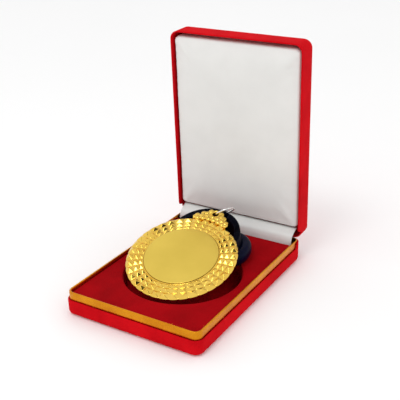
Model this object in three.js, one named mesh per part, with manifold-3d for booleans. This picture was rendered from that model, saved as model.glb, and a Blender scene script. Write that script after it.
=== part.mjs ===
// A boxed award medal: a velvet-covered hinged case, a faceted medal with its jump ring,
// and the rolled neck ribbon that props the medal up on show.
// Millimetres, +Z up, +Y towards the hinge. The origin is the centre of the case's underside.
import * as THREE from "three";
import { mergeVertices } from "three/addons/utils/BufferGeometryUtils.js";
import Module from "manifold-3d";

const wasm = await Module();
wasm.setup();

// ---- Driving dimensions ----
// Case
const CASE_WIDTH = 100;
const CASE_LENGTH = 141;
const CORNER_RADIUS = 6;
const EDGE_RADIUS = 3;
const BASE_RIM_Z = 10.8;
const BACK_WALL_DROP = 1.1;
const STEP_RUN = 2;
const LID_TO_BASE_GAP = 0.2;
const LID_DEPTH = 17.5;
const VELVET_THICKNESS = 0.4;
const SHELL_THICKNESS = 0.5;
const BOND_GAP = 0.1;
// Foil-covered collar
const COLLAR_PROUD = 5.5;
const COLLAR_THICKNESS = 1.3;
const COLLAR_GAP = 0.15;
// Pad in the base
const PAD_BELOW_COLLAR = 2.2;
const CARD_THICKNESS = 0.6;
const POCKET_CLEARANCE = 2;
const POCKET_X = 0.8;
const COIL_CLEARANCE = 1;
const HINGE_BAY_DEPTH = 8;
const PAD_GAP = 0.3;
// Lid lining
const BOARD_THICKNESS = 1.5;
const LINER_BORDER = 2.6;
const LINER_OVER_PAD = 0.4;
const LINER_REAR_BORDER = 7.6;
// Hinges
const HINGE_SPACING = 44;
const HINGE_LENGTH = 26;
const KNUCKLE_RADIUS = 1.15;
const PIN_RADIUS = 0.5;
const PIN_CLEARANCE = 0.15;
const LEAF_THICKNESS = 0.5;
const AXIS_INSET = 0.3;
const AXIS_ABOVE_WALL = 0.5;
const SPRING_THICKNESS = 0.4;
const SPRING_WIDTH = 10;
const SPRING_BOW = 1.6;
const LEAF_FOOT_RISE = 1.3;
const LEAF_TO_COLLAR = 0.3;
const OPEN_ANGLE = 88;
// Satin strip over the hinges
const STRIP_THICKNESS = 0.4;
const STRIP_WIDTH = 93;
const STRIP_TUCK = [0.65, 7.3];
const STRIP_DIP = 1.5;
// Medal
const MEDAL_RADIUS = 37.4;
const MEDAL_THICKNESS = 3;
const FACETS = 36;
const FACET_RISE = 0.9;
const FACET_BORDER = 0.5;
const FACET_WIDTHS = [4.5, 3.8, 2.9];
const RIM_SCALLOP = 0.5;
const RIM_DROP = 0.6;
const DISC_BORDER = 0.7;
const DISC_THICKNESS = 1;
const DISC_CLEARANCE = 0.2;
const CROWN_REACH = 6.5;
const CROWN_HALF_WIDTH = 13.3;
const CROWN_THICKNESS = 2;
const EYE_RADIUS = 2;
const EYE_WALL = 1.9;
// Each pair of beads along the crown: distance from its middle, rise over the rim, radius.
const CROWN_BEADS = [
  [11.3, 1, 2.1],
  [7.9, 4, 2.1],
  [4, 7, 2],
];
const CROWN_ROOT = 4;
const CROWN_SHOULDER = -0.4;
const CROWN_RISE = 5.6;
const CROWN_TOP_HALF = 4;
const TILT_ANGLE = 18;
const LEAN_ANGLE = 2.4;
const SPIN_ANGLE = -2.8;
const MEDAL_CENTRE = [-0.3, -9.8, 27];
// Jump ring
const RING_RADIUS = 7;
const RING_WIRE_RADIUS = 0.6;
const RING_HEADING = 50;
const RING_PITCH = 53;
const RING_SWING = 35;
// Ribbon
const RIBBON_WIDTH = 20;
const COIL_RADIUS = 25;
const COIL_WALL = 5;
const COIL_CENTRE = [0.5, 27.1];
const RIBBON_GAP = 0.3;
const LOOP_CENTRE = [9, 22];
const LOOP_RADIUS = 23.5;
const LOOP_THICKNESS = 1.6;
const LOOP_HEIGHT = 10.5;
const LOOP_ARC = [-40, 45];

// ---- Places worked out from them ----
const HALF_WIDTH = CASE_WIDTH / 2;
const HALF_LENGTH = CASE_LENGTH / 2;
const WALL = VELVET_THICKNESS + BOND_GAP + SHELL_THICKNESS;
const COLLAR_INSET = WALL + COLLAR_GAP;
const COLLAR_TOP_Z = BASE_RIM_Z + COLLAR_PROUD;
const BACK_WALL_Z = COLLAR_TOP_Z - BACK_WALL_DROP;
const AXIS_Z = BACK_WALL_Z + AXIS_ABOVE_WALL;
const AXIS_Y = HALF_LENGTH - AXIS_INSET;
const LID_TOP_Z = BASE_RIM_Z + LID_DEPTH;
const LID_BACK_Z = AXIS_Z - LID_TO_BASE_GAP;
const STEP_END_Y = HALF_LENGTH - CORNER_RADIUS;
const STEP_START_Y = STEP_END_Y - STEP_RUN;
const INNER_INSET = COLLAR_INSET + COLLAR_THICKNESS + PAD_GAP;
const FLOOR_Z = WALL + BOND_GAP;
const PAD_Z = COLLAR_TOP_Z - PAD_BELOW_COLLAR;
const PAD_REAR_Y = HALF_LENGTH - COLLAR_INSET - COLLAR_THICKNESS - HINGE_BAY_DEPTH;
const POCKET_RADIUS = MEDAL_RADIUS + POCKET_CLEARANCE;
const POCKET_Y = MEDAL_CENTRE[1];
const COIL_DROP = MEDAL_THICKNESS + RIBBON_GAP + RIBBON_WIDTH;
const EYE_Y = MEDAL_RADIUS + CROWN_REACH;
// The circles between the facet rings, from the outermost in, and the plain disc inside them.
const FACET_RINGS = FACET_WIDTHS.reduce(
  (radii, width) => [...radii, radii.at(-1) - width],
  [MEDAL_RADIUS - FACET_BORDER],
);
const DISC_RADIUS = FACET_RINGS.at(-1) - DISC_BORDER;
const RING_Z = -FACET_RISE / 2 - CROWN_THICKNESS / 2;
const LEAF_BACK_Y = HALF_LENGTH - COLLAR_INSET - LEAF_TO_COLLAR;
const KNUCKLE_SPLIT = HINGE_LENGTH / 4;
const RIM_STEPS = 4;
const CORNER_STEPS = 5;
const sideNames = ["left", "right"];

const degrees = THREE.MathUtils.degToRad;
const vector = (x, y, z) => new THREE.Vector3(x, y, z);
const medalTurn = new THREE.Euler(...[TILT_ANGLE, LEAN_ANGLE, SPIN_ANGLE].map(degrees));
const coilFoot = vector(...COIL_CENTRE, -COIL_DROP).applyEuler(medalTurn).add(vector(...MEDAL_CENTRE));

// ---- Solids ----
function toSolid(geometry) {
  const bare = geometry.index ? geometry.toNonIndexed() : geometry.clone();
  bare.deleteAttribute("normal");
  bare.deleteAttribute("uv");
  const merged = mergeVertices(bare, 1e-4);
  return new wasm.Manifold(
    new wasm.Mesh({
      numProp: 3,
      vertProperties: merged.attributes.position.array,
      triVerts: new Uint32Array(merged.index.array),
    }),
  );
}

function toGeometry(manifold) {
  const mesh = manifold.getMesh();
  const geometry = new THREE.BufferGeometry();
  geometry.setAttribute("position", new THREE.BufferAttribute(mesh.vertProperties, 3));
  geometry.setIndex(new THREE.BufferAttribute(mesh.triVerts, 1));
  geometry.computeVertexNormals();
  return geometry;
}

const cut = (geometry, ...tools) =>
  toGeometry(tools.reduce((body, tool) => body.subtract(toSolid(tool)), toSolid(geometry)));

const join = (...geometries) =>
  toGeometry(geometries.map(toSolid).reduce((body, next) => body.add(next)));

// A box from its lowest to its highest corner.
function block([x0, y0, z0], [x1, y1, z1]) {
  const box = new THREE.BoxGeometry(x1 - x0, y1 - y0, z1 - z0);
  return box.translate((x0 + x1) / 2, (y0 + y1) / 2, (z0 + z1) / 2);
}

// An upright cylinder between two heights.
function disc(x, y, radius, z0, z1, sides = 48) {
  const cylinder = new THREE.CylinderGeometry(radius, radius, z1 - z0, sides);
  return cylinder.rotateX(Math.PI / 2).translate(x, y, (z0 + z1) / 2);
}

// A round bar along X.
function bar(radius, x0, x1, y, z) {
  const cylinder = new THREE.CylinderGeometry(radius, radius, x1 - x0, 20);
  return cylinder.rotateZ(Math.PI / 2).translate((x0 + x1) / 2, y, z);
}

// The case's plan outline at an inset, counterclockwise, with points where the side walls step up.
function caseOutline(inset) {
  const radius = CORNER_RADIUS - inset;
  const x = HALF_WIDTH - CORNER_RADIUS;
  const y = HALF_LENGTH - CORNER_RADIUS;
  const points = [];
  const corner = (cx, cy, start) => {
    for (let step = 0; step <= CORNER_STEPS; step += 1) {
      const angle = degrees(start + (90 * step) / CORNER_STEPS);
      points.push([cx + radius * Math.cos(angle), cy + radius * Math.sin(angle)]);
    }
  };
  points.push([HALF_WIDTH - inset, STEP_START_Y]);
  corner(x, y, 0);
  corner(-x, y, 90);
  points.push([inset - HALF_WIDTH, STEP_START_Y]);
  corner(-x, -y, 180);
  corner(x, -y, 270);
  return points;
}

// A closed skin through loops of equal count: capped at both ends, or joined end to start.
function loft(loops, ring = false) {
  const count = loops[0].length;
  const index = [];
  const spans = ring ? loops.length : loops.length - 1;
  for (let row = 0; row < spans; row += 1) {
    const low = row * count;
    const high = ((row + 1) % loops.length) * count;
    for (let i = 0; i < count; i += 1) {
      const next = (i + 1) % count;
      index.push(low + i, low + next, high + next, low + i, high + next, high + i);
    }
  }
  const last = (loops.length - 1) * count;
  for (let i = 1; i < count - 1 && !ring; i += 1) {
    index.push(0, i + 1, i, last, last + i, last + i + 1);
  }
  const geometry = new THREE.BufferGeometry();
  geometry.setAttribute("position", new THREE.Float32BufferAttribute(loops.flat(2), 3));
  geometry.setIndex(index);
  return geometry;
}

// One pressed or wrapped skin of the case: a tray with rounded corners and edges.
// Its rim is at frontZ, and at backZ along the back wall and round the back corners.
function tray(inset, thickness, frontZ, backZ) {
  const atRim = (y) => (y > STEP_START_Y + 1e-6 ? backZ : frontZ);
  const edgeLoop = (depth, share) => {
    const radius = EDGE_RADIUS - depth;
    const angle = (Math.PI / 2) * share;
    const loopInset = EDGE_RADIUS - radius * Math.sin(angle);
    const z = EDGE_RADIUS - radius * Math.cos(angle);
    return caseOutline(loopInset).map(([x, y]) => [x, y, z]);
  };
  const rimLoop = (depth) => caseOutline(depth).map(([x, y]) => [x, y, atRim(y)]);
  const shares = Array.from({ length: RIM_STEPS + 1 }, (_, step) => step / RIM_STEPS);
  const outside = shares.map((share) => edgeLoop(inset, share));
  const inside = shares.map((share) => edgeLoop(inset + thickness, share)).reverse();
  return loft([...outside, rimLoop(inset), rimLoop(inset + thickness), ...inside]);
}

// A plate of the case's plan shape, at an inset and cut off square at rearY.
function plate(inset, rearY, z0, z1) {
  const loops = [z0, z1].map((z) => caseOutline(inset).map(([x, y]) => [x, Math.min(y, rearY), z]));
  return loft(loops);
}

// ---- Scene graph ----
const medalBox = new THREE.Group();

function material(color, roughness, metalness) {
  return new THREE.MeshStandardMaterial({ color, roughness, metalness });
}

const velvetRed = () => material(0xb40d12, 0.95, 0);
const tinplate = () => material(0x8f9296, 0.45, 0.9);
const goldFoil = () => material(0xd08a18, 0.3, 0.9);
const greyCard = () => material(0x9a9186, 0.9, 0);
const foam = () => material(0x55504c, 0.95, 0);
const satinWhite = () => material(0xe4e4df, 0.5, 0);
const steel = () => material(0xb8bcc0, 0.3, 1);
const goldPlate = () => material(0xd9b44a, 0.15, 1);
const goldSatin = () => material(0xd8bd52, 0.35, 1);
const ribbonNavy = () => material(0x141828, 0.5, 0);

function addMesh(parent, name, geometry, look) {
  const mesh = new THREE.Mesh(geometry, look);
  mesh.name = name;
  parent.add(mesh);
}

// ---- Case base ----
const hingeCentres = [-HINGE_SPACING / 2, HINGE_SPACING / 2];

// The slot that lets a hinge barrel through a back wall or the collar, between two heights.
function hingeSlots(y0, z0, z1) {
  const half = HINGE_LENGTH / 2 + PAD_GAP;
  return hingeCentres.map((x) => block([x - half, y0, z0], [x + half, HALF_LENGTH + 1, z1]));
}

function addBase(parent) {
  const slots = hingeSlots(HALF_LENGTH - COLLAR_INSET, AXIS_Z - KNUCKLE_RADIUS - PAD_GAP, LID_TOP_Z);
  const cover = tray(0, VELVET_THICKNESS, BASE_RIM_Z, BACK_WALL_Z);
  const shellInset = VELVET_THICKNESS + BOND_GAP;
  const shell = tray(shellInset, SHELL_THICKNESS, BASE_RIM_Z, BACK_WALL_Z);
  addMesh(parent, "base_velvet_cover", cut(cover, ...slots), velvetRed());
  addMesh(parent, "base_shell", cut(shell, ...slots), tinplate());
  addCollar(parent);
  addPad(parent);
}

function addCollar(parent) {
  const crown = COLLAR_THICKNESS / 2;
  const loops = [];
  const addLoop = (inset, z) => loops.push(caseOutline(inset).map(([x, y]) => [x, y, z]));
  addLoop(COLLAR_INSET, FLOOR_Z + EDGE_RADIUS);
  for (let step = 0; step <= RIM_STEPS; step += 1) {
    const angle = (Math.PI * step) / RIM_STEPS;
    addLoop(COLLAR_INSET + crown * (1 - Math.cos(angle)), COLLAR_TOP_Z - crown + crown * Math.sin(angle));
  }
  addLoop(COLLAR_INSET + COLLAR_THICKNESS, FLOOR_Z + EDGE_RADIUS);
  const rearFace = HALF_LENGTH - COLLAR_INSET - COLLAR_THICKNESS - PAD_GAP;
  const slots = hingeSlots(rearFace, FLOOR_Z + EDGE_RADIUS + 1, LID_TOP_Z);
  addMesh(parent, "gold_collar", cut(loft(loops, true), ...slots), goldFoil());
}

// The medal's round pocket and the round bay behind it for the crown, ring and rolled ribbon,
// grown all round by a margin.
function pocketTools(margin, z0, z1) {
  return [
    disc(POCKET_X, POCKET_Y, POCKET_RADIUS + margin, z0, z1, 64),
    disc(coilFoot.x, coilFoot.y, COIL_RADIUS + COIL_CLEARANCE + margin, z0, z1, 64),
  ];
}

function padVelvet() {
  const bottom = PAD_Z - VELVET_THICKNESS;
  const cardTop = FLOOR_Z + CARD_THICKNESS + VELVET_THICKNESS;
  const lining = join(
    plate(INNER_INSET, PAD_REAR_Y, bottom, PAD_Z),
    ...pocketTools(VELVET_THICKNESS, cardTop + PAD_GAP, PAD_Z),
  );
  return cut(lining, ...pocketTools(0, FLOOR_Z, LID_TOP_Z));
}

function addPad(parent) {
  const cardTop = FLOOR_Z + CARD_THICKNESS + VELVET_THICKNESS;
  const floorInset = Math.max(INNER_INSET, EDGE_RADIUS);
  const foamBlock = plate(INNER_INSET, PAD_REAR_Y, cardTop + PAD_GAP, PAD_Z - VELVET_THICKNESS - BOND_GAP);
  const pocket = pocketTools(VELVET_THICKNESS + BOND_GAP, FLOOR_Z, LID_TOP_Z);
  addMesh(parent, "pocket_floor_card", plate(floorInset, PAD_REAR_Y, FLOOR_Z, cardTop), velvetRed());
  addMesh(parent, "pad_foam", cut(foamBlock, ...pocket), foam());
  addMesh(parent, "pad_velvet", padVelvet(), velvetRed());
}

// ---- Lid, modelled shut and then swung open about the hinge axis ----
function addLid(parent) {
  const lid = new THREE.Group();
  const open = new THREE.Group();
  open.position.set(0, AXIS_Y, AXIS_Z);
  open.rotation.x = -degrees(OPEN_ANGLE);
  lid.position.set(0, -AXIS_Y, -AXIS_Z);
  open.add(lid);
  parent.add(open);

  const turnOver = (geometry) => geometry.rotateY(Math.PI).translate(0, 0, LID_TOP_Z);
  const slots = hingeSlots(HALF_LENGTH - COLLAR_INSET, 0, AXIS_Z + KNUCKLE_RADIUS + PAD_GAP);
  const backDepth = LID_TOP_Z - LID_BACK_Z;
  const shellInset = VELVET_THICKNESS + BOND_GAP;
  const cover = turnOver(tray(0, VELVET_THICKNESS, LID_DEPTH, backDepth));
  const shell = turnOver(tray(shellInset, SHELL_THICKNESS, LID_DEPTH, backDepth));
  addMesh(lid, "lid_velvet_cover", cut(cover, ...slots), velvetRed());
  addMesh(lid, "lid_shell", cut(shell, ...slots), tinplate());

  const boardTop = LID_TOP_Z - FLOOR_Z;
  const boardInset = WALL + LINER_BORDER;
  const rear = HALF_LENGTH - LINER_REAR_BORDER;
  const linerTop = boardTop - BOARD_THICKNESS - BOND_GAP;
  addMesh(lid, "lid_board", plate(boardInset, rear, boardTop - BOARD_THICKNESS, boardTop), greyCard());
  addMesh(lid, "lid_liner", plate(boardInset, rear, PAD_Z + LINER_OVER_PAD, linerTop), satinWhite());
  hingeCentres.forEach((x, side) => addLidLeaf(lid, x, sideNames[side]));
}

// ---- Sprung hinges ----
function knuckle(x0, x1) {
  return bar(KNUCKLE_RADIUS, x0, x1, AXIS_Y, AXIS_Z);
}

function pinBore(x) {
  const half = HINGE_LENGTH / 2 + 1;
  return bar(PIN_RADIUS + PIN_CLEARANCE, x - half, x + half, AXIS_Y, AXIS_Z);
}

function addLidLeaf(lid, x, side) {
  const half = KNUCKLE_SPLIT - PIN_CLEARANCE;
  const tabZ = AXIS_Z + KNUCKLE_RADIUS - LEAF_THICKNESS;
  const front = LEAF_BACK_Y - LEAF_THICKNESS;
  const leafHalf = HINGE_LENGTH / 2 - 1;
  const leaf = join(
    knuckle(x - half, x + half),
    block([x - half, front, tabZ], [x + half, AXIS_Y, tabZ + LEAF_THICKNESS]),
    block([x - half, front, tabZ], [x + half, LEAF_BACK_Y, tabZ + 2]),
    block([x - leafHalf, front, tabZ + 1.5], [x + leafHalf, LEAF_BACK_Y, LID_TOP_Z - EDGE_RADIUS]),
  );
  addMesh(lid, `hinge_lid_leaf_${side}`, cut(leaf, pinBore(x)), steel());
}

function addBaseHinge(parent, x, side) {
  const tabZ = AXIS_Z - KNUCKLE_RADIUS;
  const front = LEAF_BACK_Y - LEAF_THICKNESS;
  const half = HINGE_LENGTH / 2;
  const spans = [
    [x - half, x - KNUCKLE_SPLIT - PIN_CLEARANCE],
    [x + KNUCKLE_SPLIT + PIN_CLEARANCE, x + half],
  ];
  const footZ = FLOOR_Z + EDGE_RADIUS + LEAF_FOOT_RISE;
  const leaf = join(
    block([x - half, front, footZ], [x + half, LEAF_BACK_Y, tabZ + LEAF_THICKNESS / 2]),
    ...spans.flatMap(([x0, x1]) => [
      knuckle(x0, x1),
      block([x0, front, tabZ], [x1, AXIS_Y, tabZ + LEAF_THICKNESS]),
    ]),
  );
  addMesh(parent, `hinge_base_leaf_${side}`, cut(leaf, pinBore(x)), steel());
  addMesh(parent, `hinge_pin_${side}`, bar(PIN_RADIUS, x - half, x + half, AXIS_Y, AXIS_Z), steel());
  addMesh(parent, `hinge_spring_${side}`, bowSpring(x, front - PAD_GAP, footZ, tabZ), steel());
}

// The bowed strip that snaps the lid open and shut: an arc that bulges forward of the leaf.
function bowSpring(x, backY, z0, z1) {
  const steps = 10;
  const face = (offset) =>
    Array.from({ length: steps + 1 }, (_, step) => {
      const share = step / steps;
      const y = backY - SPRING_BOW * Math.sin(Math.PI * share) - offset;
      return new THREE.Vector2(y, z0 + (z1 - z0) * share);
    });
  const shape = new THREE.Shape([...face(0), ...face(SPRING_THICKNESS).reverse()]);
  return alongX(shape, x - SPRING_WIDTH / 2, x + SPRING_WIDTH / 2);
}

// A profile drawn in Y and Z, run along X.
function alongX(shape, x0, x1) {
  const profile = new THREE.ExtrudeGeometry(shape, { depth: x1 - x0, bevelEnabled: false });
  const turn = new THREE.Matrix4().makeBasis(vector(0, 1, 0), vector(0, 0, 1), vector(1, 0, 0));
  return profile.applyMatrix4(turn).translate(x0, 0, 0);
}

// The satin strip that bridges the hinge bay, from under the pad's rear edge to the lid's lining.
function addStrip(parent) {
  const linerFoot = vector(0, AXIS_Y + PAD_Z - AXIS_Z, AXIS_Z + LINER_REAR_BORDER - AXIS_INSET);
  const [tuck, lift] = STRIP_TUCK;
  const path = [
    [PAD_REAR_Y + tuck, PAD_Z - STRIP_DIP],
    [PAD_REAR_Y + tuck * 1.5, PAD_Z + lift * 0.35],
    [PAD_REAR_Y + tuck * 3, PAD_Z + lift * 0.75],
    [(PAD_REAR_Y + linerFoot.y) / 2 + tuck * 1.5, PAD_Z + lift],
    [linerFoot.y + STRIP_DIP, linerFoot.z - STRIP_DIP / 2],
  ].map(([y, z]) => new THREE.Vector2(y, z));
  const curve = new THREE.SplineCurve(path);
  const steps = 14;
  const face = (offset) =>
    Array.from({ length: steps + 1 }, (_, step) => {
      const at = curve.getPoint(step / steps);
      const along = curve.getTangent(step / steps);
      return new THREE.Vector2(at.x + along.y * offset, at.y - along.x * offset);
    });
  const shape = new THREE.Shape([...face(0), ...face(STRIP_THICKNESS).reverse()]);
  const strip = alongX(shape, -STRIP_WIDTH / 2, STRIP_WIDTH / 2);
  addMesh(parent, "hinge_satin_strip", strip, satinWhite());
}

// ---- Medal ----
// The casting without its crown: three rings of pyramid facets round a seat for the centre disc.
// Its front face is at z = 0 and its back at -MEDAL_THICKNESS.
function medalRound() {
  const triangles = [];
  const halfFacet = Math.PI / FACETS;
  const at = (radius, step, z) => {
    const angle = step * halfFacet;
    return vector(radius * Math.cos(angle), radius * Math.sin(angle), z);
  };
  const fan = (centre, points) => {
    points.forEach((point, i) => {
      if (i > 0) triangles.push(centre, points[i - 1], point);
    });
  };
  const valleyZ = -FACET_RISE;
  const backZ = -MEDAL_THICKNESS;
  const wallZ = valleyZ - RIM_DROP;
  const rimRadius = (step) => (step % 2 ? MEDAL_RADIUS : MEDAL_RADIUS - RIM_SCALLOP);
  const seatRadius = DISC_RADIUS + DISC_CLEARANCE;
  const seatZ = -DISC_THICKNESS - DISC_CLEARANCE;
  for (let step = 0; step < 2 * FACETS; step += 2) {
    const edge = [step, step + 1, step + 2];
    const rim = edge.map((s) => at(rimRadius(s), s, wallZ));
    const foot = edge.map((s) => at(rimRadius(s), s, backZ));
    fan(vector(0, 0, backZ), [...foot].reverse());
    fan(foot[1], [foot[0], rim[0], rim[1], rim[2], foot[2]].reverse());
    const rings = FACET_RINGS.map((radius) => edge.map((s) => at(radius, s, valleyZ)));
    fan(rim[1], [rim[0], rings[0][0], rings[0][1], rings[0][2], rim[2]].reverse());
    addFacet(fan, at, step, rings[0], rings[1], 0);
    addFacet(fan, at, step, rings[1], rings[2], 1);
    addFacet(fan, at, step, rings[2], rings[3], 2);
    const lip = edge.map((s) => at(seatRadius, s, valleyZ));
    const seat = edge.map((s) => at(seatRadius, s, seatZ));
    fan(lip[1], [lip[0], rings[3][0], rings[3][1], rings[3][2], lip[2]]);
    fan(seat[1], [seat[0], lip[0], lip[1], lip[2], seat[2]]);
    fan(vector(0, 0, seatZ), seat);
  }
  return new THREE.BufferGeometry().setFromPoints(triangles);
}

// One pyramid between an outer and an inner edge; its tip leans out.
function addFacet(fan, at, step, outer, inner, ring) {
  const radius = FACET_RINGS[ring] * 0.55 + FACET_RINGS[ring + 1] * 0.45;
  const tip = at(radius, step + 1, 0);
  fan(tip, [inner[0], outer[0], outer[1], outer[2], inner[2], inner[1], inner[0]]);
}

// The crown above the medal: a swept body edged with beads, and the eye for the jump ring.
function crownSolid() {
  const top = -FACET_RISE / 2;
  const low = top - CROWN_THICKNESS;
  const parts = CROWN_BEADS.flatMap(([x, rise, radius]) =>
    [-x, x].map((side) => disc(side, MEDAL_RADIUS + rise, radius, low, top, 18)),
  );
  const half = CROWN_HALF_WIDTH;
  const web = new THREE.Shape();
  web.moveTo(-half, MEDAL_RADIUS - CROWN_ROOT);
  web.lineTo(half, MEDAL_RADIUS - CROWN_ROOT);
  web.lineTo(half, MEDAL_RADIUS + CROWN_SHOULDER);
  web.lineTo(CROWN_TOP_HALF, MEDAL_RADIUS + CROWN_RISE);
  web.lineTo(-CROWN_TOP_HALF, MEDAL_RADIUS + CROWN_RISE);
  web.lineTo(-half, MEDAL_RADIUS + CROWN_SHOULDER);
  const body = new THREE.ExtrudeGeometry(web, { depth: top - low, bevelEnabled: false });
  return join(body.translate(0, 0, low), disc(0, EYE_Y, EYE_RADIUS + EYE_WALL, low, top, 24), ...parts);
}

function medalBody() {
  const eye = disc(0, EYE_Y, EYE_RADIUS, -MEDAL_THICKNESS * 2, MEDAL_THICKNESS, 24);
  const seat = disc(0, 0, DISC_RADIUS + DISC_CLEARANCE, -MEDAL_THICKNESS / 3, MEDAL_THICKNESS, 72);
  return cut(join(medalRound(), cut(crownSolid(), seat)), eye);
}

// The ring leans back through the eye: its centre lies off to one side of it, resting on the ribbon.
function addRing(parent) {
  const ring = new THREE.Group();
  ring.position.set(0, EYE_Y, RING_Z);
  ring.rotation.z = degrees(RING_HEADING);
  const torus = new THREE.TorusGeometry(RING_RADIUS, RING_WIRE_RADIUS, 10, 40);
  torus.translate(RING_RADIUS, 0, 0).rotateX(-degrees(RING_PITCH));
  addMesh(ring, "jump_ring", torus, steel());
  parent.add(ring);
}

function addMedal(tilted) {
  addMesh(tilted, "medal_body", medalBody(), goldPlate());
  const top = -DISC_CLEARANCE;
  const face = disc(0, 0, DISC_RADIUS, top - DISC_THICKNESS + 0.1, top, 72);
  addMesh(tilted, "medal_centre_disc", face, goldSatin());
  addRing(tilted);
}

// ---- Ribbon ----
// The rolled ribbon leans in its bay with its upper edge against the back of the medal.
function ribbonCoil() {
  const top = -MEDAL_THICKNESS - RIBBON_GAP;
  const low = -COIL_DROP;
  const profile = [
    [COIL_RADIUS, low],
    [COIL_RADIUS, top],
    [COIL_RADIUS - COIL_WALL, top],
    [COIL_RADIUS - COIL_WALL, low],
    [COIL_RADIUS, low],
  ].map(([radius, z]) => new THREE.Vector2(radius, z));
  const coil = new THREE.LatheGeometry(profile, 48).rotateX(Math.PI / 2);
  coil.translate(...COIL_CENTRE, 0);
  return cut(coil, ringSweep());
}

// The space that the swinging jump ring takes in the coil's top edge.
function ringSweep() {
  const heading = degrees(RING_HEADING + RING_SWING / 2);
  const reach = RING_RADIUS + RING_WIRE_RADIUS;
  const spread = 2 * RING_RADIUS * Math.sin(degrees(RING_SWING / 4));
  const x = RING_RADIUS * Math.cos(heading);
  const y = EYE_Y + RING_RADIUS * Math.sin(heading);
  const low = RING_Z - reach * Math.sin(degrees(RING_PITCH)) - RIBBON_GAP;
  return disc(x, y, reach + spread + RIBBON_GAP, low, 0, 32);
}

// The ribbon's last turn, which has sprung out over the pad to the right of the coil.
function sideLoop() {
  const shape = new THREE.Shape();
  const [start, end] = LOOP_ARC.map(degrees);
  shape.absarc(...LOOP_CENTRE, LOOP_RADIUS, start, end, false);
  shape.absarc(...LOOP_CENTRE, LOOP_RADIUS - LOOP_THICKNESS, end, start, true);
  const band = new THREE.ExtrudeGeometry(shape, {
    depth: LOOP_HEIGHT,
    bevelEnabled: false,
    curveSegments: 20,
  });
  return band.translate(0, 0, PAD_Z + RIBBON_GAP);
}

const tilted = new THREE.Group();
tilted.position.set(...MEDAL_CENTRE);
tilted.rotation.copy(medalTurn);

addBase(medalBox);
hingeCentres.forEach((x, side) => addBaseHinge(medalBox, x, sideNames[side]));
addStrip(medalBox);
addLid(medalBox);
addMedal(tilted);
addMesh(tilted, "ribbon_coil", ribbonCoil(), ribbonNavy());
addMesh(medalBox, "ribbon_side_loop", sideLoop(), ribbonNavy());
medalBox.add(tilted);

export default medalBox;
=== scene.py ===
"""A boxed award medal: velvet case, foil collar, satin-lined lid, gold medal and rolled ribbon.

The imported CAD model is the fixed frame. Shapes are built here in millimetres and stored in metres.
"""

import math

import bmesh
import bpy
import numpy as np
from mathutils import Matrix, Vector, noise


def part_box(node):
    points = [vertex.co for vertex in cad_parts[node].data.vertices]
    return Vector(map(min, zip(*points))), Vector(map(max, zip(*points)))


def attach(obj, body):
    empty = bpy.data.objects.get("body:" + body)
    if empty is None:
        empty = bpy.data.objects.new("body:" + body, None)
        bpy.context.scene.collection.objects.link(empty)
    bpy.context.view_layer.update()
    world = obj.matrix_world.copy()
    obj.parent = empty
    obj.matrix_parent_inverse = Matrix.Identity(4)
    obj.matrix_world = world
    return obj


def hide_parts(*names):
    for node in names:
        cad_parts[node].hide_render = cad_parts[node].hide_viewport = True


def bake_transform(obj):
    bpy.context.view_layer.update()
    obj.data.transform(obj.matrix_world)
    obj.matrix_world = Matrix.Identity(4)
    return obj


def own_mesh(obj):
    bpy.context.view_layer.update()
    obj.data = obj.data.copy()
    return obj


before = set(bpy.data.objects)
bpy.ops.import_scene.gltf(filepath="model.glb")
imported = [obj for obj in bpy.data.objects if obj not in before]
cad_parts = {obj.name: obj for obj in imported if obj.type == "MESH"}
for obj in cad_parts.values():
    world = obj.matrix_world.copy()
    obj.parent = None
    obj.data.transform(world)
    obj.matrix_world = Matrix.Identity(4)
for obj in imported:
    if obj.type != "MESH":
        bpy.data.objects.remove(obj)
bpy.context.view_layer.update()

MM = 0.001
TAU = 2 * math.pi


def size_of(node):
    """A CAD node's lowest and highest corners, in millimetres."""
    low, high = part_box(node)
    return [c / MM for c in low], [c / MM for c in high]


# ---- Sizes, in millimetres ----
base_high = size_of("base_velvet_cover")[1]
collar_low, collar_high = size_of("gold_collar")
pad_low, pad_high = size_of("pad_velvet")
HALF_W = base_high[0]
HALF_L = base_high[1]
BACK_WALL_Z = base_high[2]
COLLAR_TOP = collar_high[2]
COLLAR_FOOT = collar_low[2]
PAD_Z = pad_high[2]
PAD_X = pad_high[0]
PAD_FRONT = pad_low[1]
PAD_REAR = pad_high[1]
CORNER = 6.0
EDGE = 3.0
BASE_RIM = 10.8
LID_TOP = 28.3
WALL = 1.0
COLLAR_INSET = 1.15
COLLAR_THICK = 1.3
AXIS_Y = HALF_L - 0.3
AXIS_Z = BACK_WALL_Z + 0.5
LID_BACK = AXIS_Z - 0.2
OPEN = math.radians(88)
HINGE_X = 22.0
SLOT_HALF = 13.3
POCKET = (0.8, -9.8, 39.4)
BAY = (0.546, 23.137, 26.0)
CARD_TOP = 2.1

MEDAL_R = 37.4
MEDAL_T = 3.0
RINGS = (36.9, 32.4, 28.6, 25.7)
FACETS = 36
FACET_STEPS = 7
APEX = 0.55
SEAT_R = 25.2
EYE_Y = 43.9
RING_R = 7.0
RING_HEADING = math.radians(50)
RING_PITCH = math.radians(53)
WIRE_R = 0.6
RING_Z = -1.45
TILT = math.radians(18)
LEAN = math.radians(2.4)
SPIN = math.radians(-2.8)
MEDAL = (
    Matrix.Translation((-0.3, -9.8, 27.0))
    @ Matrix.Rotation(TILT, 4, "X")
    @ Matrix.Rotation(LEAN, 4, "Y")
    @ Matrix.Rotation(SPIN, 4, "Z")
)
LID = (
    Matrix.Translation((0, AXIS_Y, AXIS_Z))
    @ Matrix.Rotation(-OPEN, 4, "X")
    @ Matrix.Translation((0, -AXIS_Y, -AXIS_Z))
)
COIL = (0.5, 27.1)
COIL_TOP = -3.4
RIBBON_W = 20.0


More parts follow.
